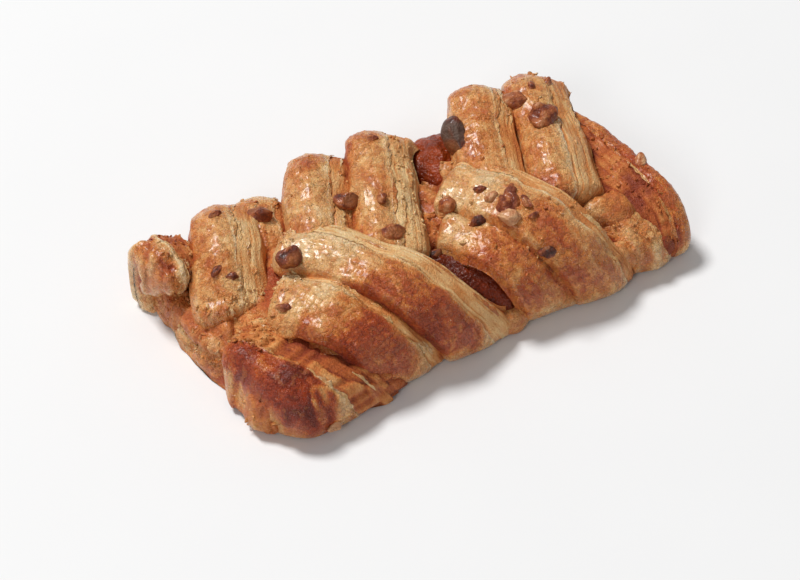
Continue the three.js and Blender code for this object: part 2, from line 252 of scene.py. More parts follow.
CRUMBS = [
    Lump((22.4, -31.3, 22.3), (4.6, 3.6, 3.6), -30, tone=0.08, crag=0.3),
    Lump((66.4, -14.5, 21), (5.6, 3.6, 3.6), 60, tone=0.72),
    Lump((-54.9, 10.1, 23), (4, 2.4, 2), 20, tone=0.25),
    Lump((-52.1, 6.9, 22.2), (3, 2.4, 2), -30, tone=0.3),
    Lump((53.1, 20, 30), (3.4, 2.4, 2), 60, tone=0.4),
    Lump((-0.2, -12.2, 18.4), (4.4, 3, 2.6), 15, tone=0.15),
    Lump((-46.8, -10.6, 22.4), (4.4, 2.6, 2), -50, tone=0.4),
    Lump((-6.8, 4.8, 28.8), (3.2, 3.2, 2.2), 0, tone=0.5),
    Lump((3.1, 26.2, 29.2), (5, 3, 1.6), -20, tone=0.5),
    Lump((58.9, 20, 28.6), (4, 2.4, 1.6), 30, tone=0.45),
    Lump((-46.5, 26, 26.4), (4, 2.4, 1.6), 10, tone=0.4),
    Lump((17.2, -7, 28.9), (3.4, 2.4, 2), -35, tone=0.3),
    Lump((17.8, -11.2, 29.1), (4.8, 3.2, 2.2), 20, tone=0.85, crag=0.5),
    Lump((18, -19.6, 28.3), (6.6, 4.6, 3.4), -35, tone=0.9, crag=0.45),
    Lump((24.6, -18, 29.4), (4.8, 2.6, 2.4), 80, tone=0.45, crag=0.5),
    Lump((23.5, -22.6, 28.2), (3.4, 2.2, 2), 10, tone=0.4, crag=0.4),
    Lump((-49, -38, 3.5), (4.5, 3, 3), 0, tone=0.9),
]


# Numbers that vary over a surface

def chance(*keys):
    """A number from 0 to 1 for each set of whole numbers, the same each time."""
    number = np.uint64(1469598103934665603)
    for key in keys:
        number = (number ^ np.asarray(key).astype(np.int64).astype(np.uint64)) * np.uint64(1099511628211)
        number = number ^ (number >> np.uint64(29))
    return ((number >> np.uint64(20)) % np.uint64(65536)).astype(float) / 65535


def noise(points, seed=0):
    """Smooth noise from -1 to 1 at an array of points, with one cell for each unit."""
    cell = np.floor(points)
    part = points - cell
    part = part * part * (3 - 2 * part)
    total = 0
    for corner in np.ndindex(2, 2, 2):
        keys = [cell[..., k] + corner[k] for k in range(3)]
        weight = 1
        for k in range(3):
            weight = weight * (part[..., k] if corner[k] else 1 - part[..., k])
        total = total + weight * chance(*keys, seed)
    return 2 * total - 1


def noise_sheet(u, v, seed=0):
    """Smooth noise from -1 to 1 on a flat sheet."""
    return noise(np.stack([u, v, 0 * u], -1), seed)


def noise_line(x, seed=0):
    """Smooth noise from -1 to 1 along one number."""
    return noise_sheet(x, 0 * x, seed)


def blisters(u, v, seed=0):
    """Low round bumps from 0 to 1 on a flat sheet, about one for each unit square."""
    cell_u = np.floor(u)
    cell_v = np.floor(v)
    height = np.zeros_like(u)
    for step_u, step_v in np.ndindex(3, 3):
        near_u = cell_u + step_u - 1
        near_v = cell_v + step_v - 1
        middle_u = near_u + chance(near_u, near_v, seed)
        middle_v = near_v + chance(near_u, near_v, seed + 1)
        size = 0.15 + 0.6 * chance(near_u, near_v, seed + 2) ** 2
        away = np.hypot(u - middle_u, v - middle_v) / size
        height = np.maximum(height, size * np.clip(1 - away * away, 0, 1))
    return height


def plates(points, seed=0):
    """Thin plates of lifted crust: low terraces, one apart, with sharp edges."""
    level = 2.0 * noise(points / 5.5, seed) + 0.9 * noise(points / 2.2, seed + 1)
    number = np.floor(level)
    return number + smooth(0.78, 1, level - number)


def creases(length, cross, seed=0):
    """Narrow ridges that run along a strip, from 0 to 1."""
    fold = noise_sheet(length / 8, cross / 1.9, seed)
    return np.clip(1 - 2.2 * np.abs(fold), 0, 1) ** 2


def smooth(low, high, x):
    """A smooth step from 0 at low to 1 at high."""
    share = np.clip((x - low) / (high - low), 0, 1)
    return share * share * (3 - 2 * share)


def between(a, b, share):
    return a + (b - a) * share


def signed_power(x, power):
    return np.sign(x) * np.abs(x) ** power


# Node trees written as expressions

class Shade:
    """A socket in a finish. Python's operators on it add Math nodes."""

    def __init__(self, finish, socket):
        self.finish = finish
        self.socket = socket

    def maths(self, operation, *values):
        return self.finish.node("ShaderNodeMath", {"operation": operation}, dict(enumerate(values)))["Value"]

    def __add__(self, other):
        return self.maths("ADD", self, other)

    __radd__ = __add__

    def __sub__(self, other):
        return self.maths("SUBTRACT", self, other)

    def __rsub__(self, other):
        return self.maths("SUBTRACT", other, self)

    def __mul__(self, other):
        return self.maths("MULTIPLY", self, other)

    __rmul__ = __mul__

    def clamped(self, low=0.0, high=1.0):
        return self.maths("MINIMUM", self.maths("MAXIMUM", self, low), high)

    def step(self, low, high):
        """A smooth step from 0 at low to 1 at high."""
        limits = {"Value": self, "From Min": low, "From Max": high}
        return self.finish.node("ShaderNodeMapRange", {"interpolation_type": "SMOOTHSTEP"}, limits)["Result"]


class Finish:
    """A material whose node tree is written with Shade expressions."""

    def __init__(self, name):
        self.material = bpy.data.materials.new(name)
        self.material.use_nodes = True
        self.tree = self.material.node_tree
        self.shader = self.tree.nodes["Principled BSDF"]

    def node(self, kind, settings=None, sockets=None):
        """Adds a node, makes its settings, then sets or links its sockets, and gives its outputs by name."""
        node = self.tree.nodes.new(kind)
        for name, value in (settings or {}).items():
            if name == "stops":
                self.set_stops(node.color_ramp, value)
            else:
                setattr(node, name, value)
        for key, value in (sockets or {}).items():
            self.put(node, key, value)
        outputs = {}
        for socket in node.outputs:
            outputs[socket.name] = Shade(self, socket)
            outputs[socket.identifier] = Shade(self, socket)
        return outputs

    @staticmethod
    def set_stops(ramp, stops):
        while len(ramp.elements) < len(stops):
            ramp.elements.new(1.0)
        for element, (place, colour) in zip(ramp.elements, stops):
            element.position = place
            element.color = colour

    def put(self, node, key, value):
        """Sets or links one input of a node, by its number, its identifier or its name."""
        if isinstance(key, int):
            socket = node.inputs[key]
        else:
            known = {s.identifier: s for s in node.inputs}
            socket = known.get(key) or node.inputs[key]
        if isinstance(value, Shade):
            self.tree.links.new(value.socket, socket)
        else:
            socket.default_value = value

    def surface(self, **sockets):
        """Sets or links the inputs of the surface shader."""
        for name, value in sockets.items():
            self.put(self.shader, name.replace("_", " "), value)

    def measure(self, name):
        """A number stored on the mesh."""
        return self.node("ShaderNodeAttribute", {"attribute_name": name})["Fac"]

    def place(self):
        return self.node("ShaderNodeTexCoord")["Object"]

    def speckle(self, size, detail=2.0, where=None, roughness=0.5):
        """Noise whose features are about size millimetres across."""
        sockets = {"Scale": 1 / (size * MM), "Detail": detail, "Roughness": roughness}
        sockets["Vector"] = where or self.place()
        return self.node("ShaderNodeTexNoise", None, sockets)["Fac"]

    def cells(self, size):
        """Distance to the nearest of scattered points about size millimetres apart, in units of that size."""
        sockets = {"Scale": 1 / (size * MM), "Vector": self.place()}
        return self.node("ShaderNodeTexVoronoi", None, sockets)["Distance"]

    def ramp(self, value, stops):
        return self.node("ShaderNodeValToRGB", {"stops": stops}, {"Fac": value})["Color"]

    def mix(self, share, first, second):
        """The second colour over the first."""
        sockets = {"Factor_Float": share, "A_Color": first, "B_Color": second}
        return self.node("ShaderNodeMix", {"data_type": "RGBA"}, sockets)["Result_Color"]

    def bump(self, height, depth):
        """Fine relief in the shading, depth millimetres deep."""
        sockets = {"Height": height, "Strength": 1.0, "Distance": depth * MM}
        return self.node("ShaderNodeBump", None, sockets)["Normal"]


def tint(red, green, blue):
    """A colour given as it looks on a screen, from 0 to 255, for use in a shader."""
    parts = []
    for level in (red, green, blue):
        share = level / 255
        parts.append(share / 12.92 if share <= 0.04045 else ((share + 0.055) / 1.055) ** 2.4)
    return (*parts, 1.0)


# Finishes

def dough_finish():
    """Baked laminated dough: a glazed brown crust and pale sheets on the cut edges, both darkened by painted
    shade where the dough is shut in; the paler crust has sugar specks mixed with painted glints.
    """
    finish = Finish("baked_dough")
    bake = finish.measure("bake")
    band = finish.measure("band")
    sheet = finish.measure("sheet")
    nook = finish.measure("nook")
    run = finish.measure("lengthwise")
    cross = finish.measure("crosswise")
    along = finish.node("ShaderNodeCombineXYZ", None, {"X": run * (0.16 * MM), "Y": cross * MM})["Vector"]

    mottle = finish.speckle(7, 3)
    patch = finish.speckle(2.4, 3)
    fine = finish.speckle(0.9, 4, roughness=0.65)
    grit = finish.speckle(0.5, 2, roughness=0.6)
    streak = finish.speckle(1.1, 3, along)
    brown = bake + (mottle - 0.5) * 0.62 + (patch - 0.5) * 0.44 + (fine - 0.5) * 0.34 + (streak - 0.5) * 0.25
    # The crust is darker where the dough is shut in: painted shade
    crust = finish.ramp(brown + nook * 0.4, [
        (0.0, tint(246, 208, 156)),
        (0.2, tint(234, 177, 112)),
        (0.42, tint(214, 130, 62)),
        (0.62, tint(182, 80, 32)),
        (0.8, tint(148, 52, 20)),
        (1.0, tint(112, 36, 15)),
    ])
    worn = (patch * 0.6 + mottle * 0.4 + (fine - 0.5) * 0.4).step(0.56, 0.62)
    crust = finish.mix(worn * 0.3, crust, tint(206, 122, 58))
    # Pale specks on the paler crust: sugar in the glaze, mixed with painted glints
    sugar_specks_and_glints = grit.step(0.54, 0.68) * (1 - bake * 1.5).clamped() * patch.step(0.4, 0.6)
    crust = finish.mix(sugar_specks_and_glints * 0.35, crust, tint(252, 230, 200))
    # The cut sheets are darker where the dough is shut in: painted shade
    pale = sheet * 0.5 + (streak - 0.5) * 0.55 + (mottle - 0.5) * 0.5 + (fine - 0.5) * 0.27 + 0.3 - nook * 0.5
    cut = finish.ramp(pale, [
        (0.0, tint(140, 55, 20)),
        (0.25, tint(190, 98, 42)),
        (0.5, tint(222, 146, 78)),
        (0.75, tint(242, 197, 136)),
        (1.0, tint(250, 224, 176)),
    ])
    colour = finish.mix(band, crust, cut)
    speck = finish.speckle(1.3, 1).step(0.7, 0.76)
    colour = finish.mix(speck * 0.25, colour, tint(120, 62, 34))

    rough = 0.25 + bake * 0.1 + band * 0.25 + nook * 0.4 + (patch - 0.5) * 0.5 + (mottle - 0.5) * 0.3
    skin = (patch + (fine - 0.5) * 0.5).step(0.5, 0.56) * (1 - band)
    height = fine * 0.9 + grit.step(0.42, 0.6) * 0.5 + skin * 0.7 + streak * (band * 0.6 + 0.2)
    glaze = (0.7 - bake * 0.8 - band * 0.3 - nook * 0.7 + (mottle - 0.5) * 0.7).clamped()
    finish.surface(
        Base_Color=colour,
        Roughness=rough.clamped(0.2, 0.85),
        Specular_IOR_Level=0.38,
        Coat_Weight=glaze,
        Coat_Roughness=0.24,
        Normal=finish.bump(height, 0.33),
        Subsurface_Weight=0.12,
        Subsurface_Radius=(1.0, 0.45, 0.2),
        Subsurface_Scale=0.9 * MM,
    )
    return finish.material


def syrup_finish():
    """Boiled maple syrup with fine bits in it, dark and sticky."""
    finish = Finish("maple_syrup")
    tone = finish.measure("tone")
    lumps = finish.speckle(1.6, 4, roughness=0.6)
    bits = finish.cells(1.0)
    colour = finish.ramp(tone + (lumps - 0.5) * 0.6, [
        (0.0, tint(62, 18, 8)),
        (0.4, tint(114, 40, 15)),
        (0.75, tint(162, 66, 22)),
        (1.0, tint(204, 116, 62)),
    ])
    finish.surface(
        Base_Color=colour,
        Roughness=(0.08 + lumps * 0.25).clamped(0.1, 0.5),
        Specular_IOR_Level=0.26,
        Normal=finish.bump(lumps * 0.6 + (1 - bits) * lumps, 0.7),
        Subsurface_Weight=0.25,
        Subsurface_Radius=(1.0, 0.3, 0.1),
        Subsurface_Scale=1.5 * MM,
    )
    return finish.material


def nut_finish():
    """Roasted pecan: streaked brown skin, paler where it was chopped, scorched in places, thinly glazed."""
    finish = Finish("roasted_pecan")
    tone = finish.measure("tone")
    char = finish.measure("char")
    broken = finish.measure("broken")
    streak = finish.measure("furrow")
    mottle = finish.speckle(1.8, 4, roughness=0.6)
    fine = finish.speckle(0.5, 3)
    shade = tone + 0.06 + (mottle - 0.5) * 1.0 + (streak - 0.5) * 0.5 + (fine - 0.5) * 0.5
    skin = finish.ramp(shade, [
        (0.0, tint(66, 28, 16)),
        (0.3, tint(124, 54, 28)),
        (0.6, tint(176, 98, 50)),
        (1.0, tint(224, 172, 126)),
    ])
    flesh = finish.mix(broken * (1 - char) * 0.45, skin, tint(174, 108, 60))
    scorched = finish.mix((char + (mottle - 0.5) * 0.8).step(0.3, 0.95), flesh, tint(98, 79, 67))
    finish.surface(
        Base_Color=scorched,
        Roughness=(0.45 + char * 0.2 + (fine - 0.5) * 0.5).clamped(0.25, 0.8),
        Specular_IOR_Level=0.32,
        Coat_Weight=(mottle * 0.7 + tone * 0.2 - 0.2 + char * 0.1).clamped(),
        Coat_Roughness=0.2,
        Normal=finish.bump(mottle * 0.8 + fine * 0.9, 0.5),
    )
    return finish.material


def floor_finish():
    finish = Finish("pale_floor")
    soft = finish.speckle(60, 2)
    colour = finish.mix(soft, tint(236, 236, 236), tint(239, 239, 239))
    finish.surface(Base_Color=colour, Roughness=0.7, Specular_IOR_Level=0.2)
    return finish.material


# Meshes from arrays

NO_QUADS = np.zeros((0, 4), int)


def triangles_of(quads):
    """Each quad as two triangles."""
    return np.concatenate([quads[:, [0, 1, 2]], quads[:, [0, 2, 3]]])


def volume_of(points, triangles):
    """Six times the volume that triangles enclose, negative if they face inwards."""
    a, b, c = (points[triangles[:, k]] for k in range(3))
    return np.sum(a * np.cross(b, c))


def facing_out(points, triangles):
    """The triangles of a closed shape, turned to face outwards."""
    return triangles if volume_of(points, triangles) >= 0 else triangles[:, ::-1]


def above_table(points):
    """Points with any below the table lifted onto it."""
    return np.concatenate([points[..., :2], np.maximum(points[..., 2:], 0)], -1)


def put_in_scene(name, data):
    thing = bpy.data.objects.new(name, data)
    bpy.context.scene.collection.objects.link(thing)
    return thing


def make_piece(name, points, quads, triangles, measures, finish, node):
    """One piece from arrays in millimetres, with numbers stored on its points, facing outwards."""
    if volume_of(points, np.concatenate([triangles, triangles_of(quads)])) < 0:
        quads = quads[:, ::-1]
        triangles = triangles[:, ::-1]
    mesh = bpy.data.meshes.new(name)
    mesh.from_pydata((points * MM).tolist(), [], quads.tolist() + triangles.tolist())
    for key, values in measures.items():
        mesh.attributes.new(key, "FLOAT", "POINT").data.foreach_set("value", values.astype(np.float32))
    mesh.shade_smooth()
    mesh.materials.append(finish)
    piece = put_in_scene(name, mesh)
    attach(piece, "root")
    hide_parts(node)


def make_rings(name, rings, measures, finish):
    """A piece of dough from rings of points."""
    points, quads, ends = closed_grid(rings)
    stored = {key: over_grid(values) for key, values in measures.items()}
    make_piece(name, points, quads, ends, stored, finish, "pastry")


def make_bits(name, parts, finish, node="pastry"):
    """One piece from several closed shapes, each with its points, triangles and measures."""
    count = 0
    points, faces = [], []
    measures = {}
    for part_points, part_faces, part_measures in parts:
        points.append(part_points)
        faces.append(part_faces + count)
        count += len(part_points)
        for key, values in part_measures.items():
            measures.setdefault(key, []).append(values)
    stored = {key: np.concatenate(values) for key, values in measures.items()}
    points = above_table(np.concatenate(points))
    make_piece(name, points, NO_QUADS, np.concatenate(faces), stored, finish, node)


def closed_grid(points):
    """Points, quads and end triangles of rings of points, closed round each ring and over both ends."""
    rings, around = points.shape[:2]
    corner = np.arange(rings * around).reshape(rings, around)
    beside = np.roll(corner, -1, axis=1)
    quads = np.stack([corner[:-1], beside[:-1], beside[1:], corner[1:]], -1).reshape(-1, 4)
    first = rings * around
    ends = [
        np.stack([np.full(around, first), beside[0], corner[0]], -1),
        np.stack([np.full(around, first + 1), corner[-1], beside[-1]], -1),
    ]
    middles = np.stack([points[0].mean(0), points[-1].mean(0)])
    return np.concatenate([points.reshape(-1, 3), middles]), quads, np.concatenate(ends)


def over_grid(values):
    """One number for each point of a closed grid, its two middles included."""
    return np.concatenate([values.ravel(), [values[0].mean(), values[-1].mean()]])


def grid_normals(points, outwards):
    """Unit normals of rings of points, on the side that outwards points to at the crest."""
    along = np.gradient(points, axis=0)
    round_ring = np.roll(points, -1, axis=1) - np.roll(points, 1, axis=1)
    normals = np.cross(along, round_ring)
    normals /= np.maximum(np.linalg.norm(normals, axis=-1, keepdims=True), 1e-9)
    if np.sum(normals[:, LEFT_COLUMNS] * outwards) < 0:
        normals = -normals
    return normals


# The strips of dough

def crest_line(strip, reach, phase):
    """Along a strip's crest: the length so far, how far in from the side it is, and how high."""
    angle = np.linspace(FOOT_ANGLE, math.pi / 2, CREST_POINTS)
    below = angle < 0
    run = np.where(below, TUCK, strip.run)
    rise = np.where(below, BULGE_HEIGHT, strip.crown - BULGE_HEIGHT)
    power = np.where(below | (strip.side < 0), 1, BACK_FULLNESS)
    fold = run * (1 - np.maximum(0, np.cos(angle)) ** power)
    fold_height = BULGE_HEIGHT + rise * signed_power(np.sin(angle), power)
    share = np.linspace(0, 1, CREST_POINTS)[1:]
    lie = between(strip.run, reach, share)
    wave = WAVE * np.sin(lie / 4 + phase) * np.sin(math.pi * share)
    along = np.append(fold, lie)
    height = np.append(fold_height, strip.crown - strip.drop * share ** 2 + wave)
    length = np.append(0, np.cumsum(np.hypot(np.diff(along), np.diff(height))))
    before_tip = np.interp(reach - TIP_LENGTH, along, length)
    bend = np.linspace(0, TIP_BEND, TIP_RINGS)
    rings = between(before_tip, length[-1], np.sin(bend))
    rings = np.append(np.linspace(0, before_tip, RINGS - TIP_RINGS, endpoint=False), rings)
    return rings, np.interp(rings, length, along), np.interp(rings, length, height)


def sheets_of(length, cross, share, width, coarse, torn, seed):
    """The sheets of lamination on a cut edge: how far each point stands out, and how near a gap it is."""
    count = max(3, round(width / SHEET / coarse))
    level = share * count
    level = level + 0.3 * np.sin(2.3 * level + seed) + 0.2 * noise_line(length / 13, seed)
    level = level + torn * 0.35 * noise_sheet(length / 9, cross / 3, seed + 6)
    number = np.round(level)
    away = np.abs(level - number)
    open_gap = smooth(-0.3, 0.5, noise_sheet(length / 8, number * 5.1, seed + 1))
    gap = open_gap * np.exp(-((away / 0.1) ** 2))
    sheet = np.floor(level)
    stand = noise_sheet(length / 10, sheet * 7.3, seed + 2)
    rip = noise(np.stack([length / 1.8, sheet * 3.7, cross / 2], -1), seed + 3)
    fibre = noise_sheet(length / 4, cross / 0.45, seed + 4)
    relief = SHEET_STEP * coarse * (1 + torn) * (stand + 1.2 * torn * rip) - GROOVE * gap + FIBRE * fibre
    return relief, gap


@dataclass
class Path:
    """The crest of a strip, ring by ring from its foot to its tip, and the ways up and across from it."""

    length: np.ndarray  # along the crest so far
    far: np.ndarray  # the same, as a share of the whole
    folded: np.ndarray  # how far in from the foot, 1 where it reaches its crown
    end: np.ndarray  # 1, then down to 0 over the tip
    crest: np.ndarray
    outwards: np.ndarray
    across: np.ndarray


@dataclass
class Skin:
    """What is on a strip's skin at each point: on the crust, and on the cut edge."""

    bubbles: np.ndarray
    plate: np.ndarray
    crease: np.ndarray
    crags: np.ndarray
    fray: np.ndarray
    sheet: np.ndarray
    gap: np.ndarray


def strip_path(strip, index):
    """A strip's way over the pastry. A front one wraps round on the slant, a back one is straight."""
    root = np.array([strip.root_x, strip.side * (WIDTH / 2 - strip.inset)])
    inward = np.array(strip.tip) - root
    reach = np.linalg.norm(inward)
    inward /= reach
    length, along, height = crest_line(strip, reach, 1.7 * index)
    far = length / length[-1]
    slant = far if strip.side < 0 else along / reach
    crest = np.stack([between(root[0], strip.tip[0], slant), root[1] + inward[1] * along, height], -1)
    outwards = np.stack([0 * along, np.gradient(height) * strip.side, np.maximum(np.gradient(along), 0)], -1)
    outwards /= np.linalg.norm(outwards, axis=1, keepdims=True)
    square = np.array([abs(inward[1]), strip.side * inward[0], 0])
    along_side = np.array([1 / abs(inward[1]), 0, 0])
    squareness = BACK_SQUARENESS + 0 * far if strip.side > 0 else far
    across = between(along_side, square, squareness[:, None])
    across = -across if strip.turned else across
    end = np.clip((reach - along) / TIP_LENGTH, 0, 1)
    columns = [values[:, None] for values in (length, far, along / strip.run, end)]
    return Path(*columns, crest, outwards, across)


def strip_section(strip, path, seed):
    """Round each ring, over left side, top, cut edge and underside: sideways, up, and across the dough."""
    length = path.length
    lying = np.clip((path.folded - 0.5) / 0.8, 0, 1)
    left = strip.left * between(1, strip.narrow, path.far)
    band = strip.band * between(1, strip.band_tip, path.far)
    depth = between(FOLD_DEPTH, STRIP_DEPTH, lying)
    valley = between(strip.valley_foot, END_FALL - EDGE_DROP if strip.low else strip.valley, lying)
    ragged = 0.4 * noise_line(length / 6, seed + 5) + 0.15 * noise_line(length / 1.9, seed + 6)
    lift = 0.4 * noise_line(length / 6, seed + 7)
    edge = EDGE_FALL * strip.right ** 2
    left_part = (
        -left * LEFT,
        -valley * LEFT ** (4 if strip.low else 1.9) - EDGE_DROP * smooth(0.84, 1, LEFT),
    )
    top_part = (
        strip.right * TOP + ragged * TOP ** 2,
        -edge * TOP ** 2 + lift * TOP ** 3 + 0 * length,
    )
    cut_part = (
        strip.right + LIP_WIDTH + band * CUT + ragged * (1 - CUT),
        -edge - LIP - strip.fall * CUT ** 1.6 - EDGE_DROP * smooth(0.8, 1, CUT) + 0.6 * lift * (1 - CUT),
    )
    corners = [
        (cut_part[0][:, -1:], cut_part[1][:, -1:]),
        (strip.right + 0.6 * band, -depth),
        (-0.6 * left, -depth),
        (left_part[0][:, :1], left_part[1][:, :1]),
    ]
    place = 3 * (np.arange(UNDER_COLUMNS) + 1) / (UNDER_COLUMNS + 1)
    low = np.floor(place).astype(int)
    section = []
    for k in range(2):
        sides = np.concatenate([corner[k] + 0 * length for corner in corners], axis=1)
        under_part = between(sides[:, low], sides[:, low + 1], place - low)
        round_ring = [left_part[k] + 0 * length, top_part[k], cut_part[k], under_part]
        section.append(np.concatenate(round_ring, axis=1))
    sideways, upwards = section
    foot = between(strip.foot, 1, smooth(0.06, 0.26, path.far))
    sideways = np.where(sideways > 0, sideways * foot, sideways)
    cross = [-left * LEFT, strip.right * TOP + 0 * left, strip.right + band * CUT, UNDER + 0 * left]
    return sideways, upwards, np.concatenate(cross, axis=1)


def strip_skin(strip, path, points, cross, seed):
    """The blisters, plates, creases and crags of a strip's crust, where it is frayed, and its cut sheets."""
    run = path.length + 0 * cross
    bubbles = blisters(run / BLISTER_SPACING, cross / BLISTER_SPACING, seed + 20)
    bubbles = bubbles + 0.6 * blisters(run / 1.1, cross / 1.1, seed + 24)
    bubbles = bubbles * smooth(-0.3, 0.4, noise(points / 7, seed + 4))
    wander = 0.07 * noise(points / 5, seed + 16) + 0.07 * noise(points / 1.8, seed + 17)
    low_right = smooth(0.3, 0.26, path.far + 2 * wander) * smooth(0.38, 0.3, BESIDE + 2 * wander)
    fray = strip.frayed * np.maximum(smooth(0.78, 0.9, BESIDE + wander), low_right)
    crags = 0.9 * noise(points / 2.8, seed + 14) + 0.4 * noise(points / 1.2, seed + 15)
    crags = np.maximum(strip.craggy, 0.4 * fray) * crags
    sheet, gap = sheets_of(run, cross, DOWN_CUT + 0 * cross, strip.band, strip.coarse, strip.torn, seed + 10)
    return Skin(bubbles, plates(points, seed + 30), creases(run, cross, seed + 32), crags, fray, sheet, gap)


def strip_relief(path, skin, points, seed):
    """How far each point of a strip stands out from its smooth form."""
    swell = CRUST_SWELL * noise(points / 11, seed) + CRUST_RIPPLE * noise(points / 4.5, seed + 1)
    grain = CRUST_GRAIN * (noise(points / 1.3, seed + 2) + 0.7 * noise(points / 0.7, seed + 3))
    crust = grain + BLISTER * skin.bubbles + CRUST_PLATE * skin.plate + CREASE * skin.crease
    crust = crust + skin.crags - FRAY * skin.fray
    kept = smooth(1, 0.93, BESIDE) * smooth(0, 0.06, path.far)
    fade = 1 - smooth(0.8, 1.0, 1 - path.end)
    relief = swell * np.maximum(IS_CRUST, IS_CUT) + crust * IS_CRUST * kept
    return relief + skin.sheet * IS_CUT * fade * smooth(0, 0.06, DOWN_CUT)


def strip_measures(strip, path, skin, points, cross, index):
    """The numbers of a strip's finish: golden on top, browner on the slope, pale by the table and the lip."""
    seed = 40 * index
    uneven = 0.3 * noise(points / 9, seed + 12) + 0.16 * noise(points / 3.5, seed + 13)
    slope = smooth(1.5, 0.5, path.folded + uneven)
    table = smooth(2.5, 9.5 + 4 * strip.frayed, points[..., 2] + 3 * noise(points / 4, seed + 8))
    bake = between(strip.top_bake, strip.slope_bake, slope)
    bake = between(0.22, bake, 0.15 + 0.85 * table)
    bake = between(bake, 0.5, skin.fray) + 0.1 * strip.frayed * noise(points / 4.5, seed + 18)
    bake = bake + 0.3 * skin.fray * noise(points / 2, seed + 19)
    to_lip = np.abs(cross - strip.right)
    bake = bake - strip.pale_lip * (0.35 * np.exp(-to_lip / 0.5) + 0.08 * np.exp(-to_lip / 3))
    bake = bake + 0.08 * skin.bubbles - 0.05 * skin.plate - 0.08 * skin.crease - 0.3 * skin.crags
    pale = 0.62 + 0.6 * skin.sheet - 0.35 * skin.gap - strip.cut_bake
    return {
        "bake": bake,
        "band": IS_CUT + 0 * cross,
        # Darker just under the lip: painted shadow of the lip, and browner dough
        "sheet": pale - 0.3 * slope - 0.2 * np.exp(-to_lip / 0.4),
        "lengthwise": path.length + 0 * cross,
        "crosswise": cross + STRIP_APART * index,
    }


def strip_surface(strip, index):
    """The skin of a strip as rings of points, with their normals and the numbers its finish uses."""
    seed = 40 * index
    path = strip_path(strip, index)
    sideways, upwards, cross = strip_section(strip, path, seed)
    taper = 0.06 + 0.94 * np.sqrt(1 - (1 - path.end) ** 2)
    sunk = -SIDE_FALL + (upwards + SIDE_FALL) * taper
    spread_out = path.across[:, None] * (sideways * taper)[..., None]
    points = path.crest[:, None] + path.outwards[:, None] * sunk[..., None] + spread_out
    normals = grid_normals(points, path.outwards)
    skin = strip_skin(strip, path, points, cross, seed)
    relief = strip_relief(path, skin, points, seed)
    points = above_table(points + normals * relief[..., None])
    return points, normals, strip_measures(strip, path, skin, points, cross, index)


# The dough under the strips

BASE_RINGS = 170
BASE_AROUND = 150
BASE_CAPS = 16
END_DIP = 3.6  # how far the left end is drawn in beside the first front strip
END_DIP_Y = -17


def sunk_at_openings(points):
    """The base's points, lowered where the filling rises through it."""
    height = points[..., 2]
    for opening in OPENINGS:
        turn = math.radians(opening.turn)
        away = points[..., :2] - np.array(opening.at[:2])
        u = away[..., 0] * math.cos(turn) + away[..., 1] * math.sin(turn)
        v = away[..., 1] * math.cos(turn) - away[..., 0] * math.sin(turn)
        inside = 1 - smooth(0.95, 1.15, np.hypot(u / (opening.size[0] / 2), v / (opening.size[1] / 2)))
        height = between(height, np.minimum(height, opening.at[2] - 2), inside)
    return np.concatenate([points[..., :2], height[..., None]], -1)


def base_surface():
    """The flat-bottomed mound that the strips are folded over, sunk where the filling rises through it."""
    caps = np.linspace(0.04, 0.96, BASE_CAPS)
    step = np.concatenate([0.012 + 0 * caps, np.linspace(0.012, 0.988, BASE_RINGS), 0.988 + 0 * caps])
    closing = np.concatenate([caps, np.ones(BASE_RINGS), caps[::-1]])[:, None]
    share = -np.cos(math.pi * step)[:, None]
    half = LENGTH / 2 - np.where(share < 0, BASE_INSET_LEFT, BASE_INSET)
    rounding = (1 - np.abs(share) ** 7) ** 0.4
    half_width = BASE_WIDTH / 2 * (0.8 + 0.2 * rounding)
    mound = BASE_END + (BASE_HEIGHT - BASE_END) * (1 - share ** 4)
    low_end = np.where(share < 0, 0.92, 0.6)
    height = mound * between(low_end, 1, rounding)
    angle = 2 * math.pi * (np.arange(BASE_AROUND) + 0.5) / BASE_AROUND
    y = BASE_SHIFT + half_width * closing * signed_power(np.cos(angle), 0.7)
    z = height / 2 * (1 + closing * signed_power(np.sin(angle), 0.8)) - BASE_TRIM
    points = np.stack([half * share + 0 * y, y, z], -1)
    at_end = np.sign(share) * smooth(0.86, 1, np.abs(share))
    layers = np.sin(points[..., 2] * 2.2 + 3 * noise(points / 8, 901))
    flaky = 0.4 * plates(points * np.array([0.6, 0.6, 1.6]), 906) + 0.6 * noise(points / 2, 907)
    flaky = flaky + 0.35 * noise(points / 0.9, 908)
    above = smooth(0, 2.5, points[..., 2])
    points[..., 0] += at_end * above * (0.12 * layers + 1.2 * noise(points / 6, 902) + flaky)
    points[..., 0] += smooth(0.75, 1, -share) * 0.3 * points[..., 2]
    points[..., 0] += smooth(0.75, 1, -share) * END_DIP * np.exp(-((points[..., 1] - END_DIP_Y) / 10) ** 2)
    points[..., 0] -= at_end * (1 - above) * (0.6 + 0.9 * noise(points / 3.5, 909))
    points[..., 2] += 0.6 * noise(points / 9, 900) + 0.12 * noise(points / 1.4, 903)
    points = above_table(sunk_at_openings(points))
    bake = 0.28 + 0.04 * layers + 0.14 * noise(points / 5, 904) - 0.16 * flaky
    measures = {
        "bake": bake,
        "band": 0.3 * smooth(0.0, 0.6, noise(points / 4, 905)),
        "sheet": 0.4 + 0.15 * layers,
        "lengthwise": 3 * points[..., 1],
        "crosswise": points[..., 2] + BASE_APART,
    }
    return points, measures


def ball(level):
    """Points and triangles of a unit ball."""
    shape = bmesh.new()
    bmesh.ops.create_icosphere(shape, subdivisions=level, radius=1)
    points = np.array([v.co for v in shape.verts])
    faces = np.array([[v.index for v in f.verts] for f in shape.faces])
    shape.free()
    return points, faces


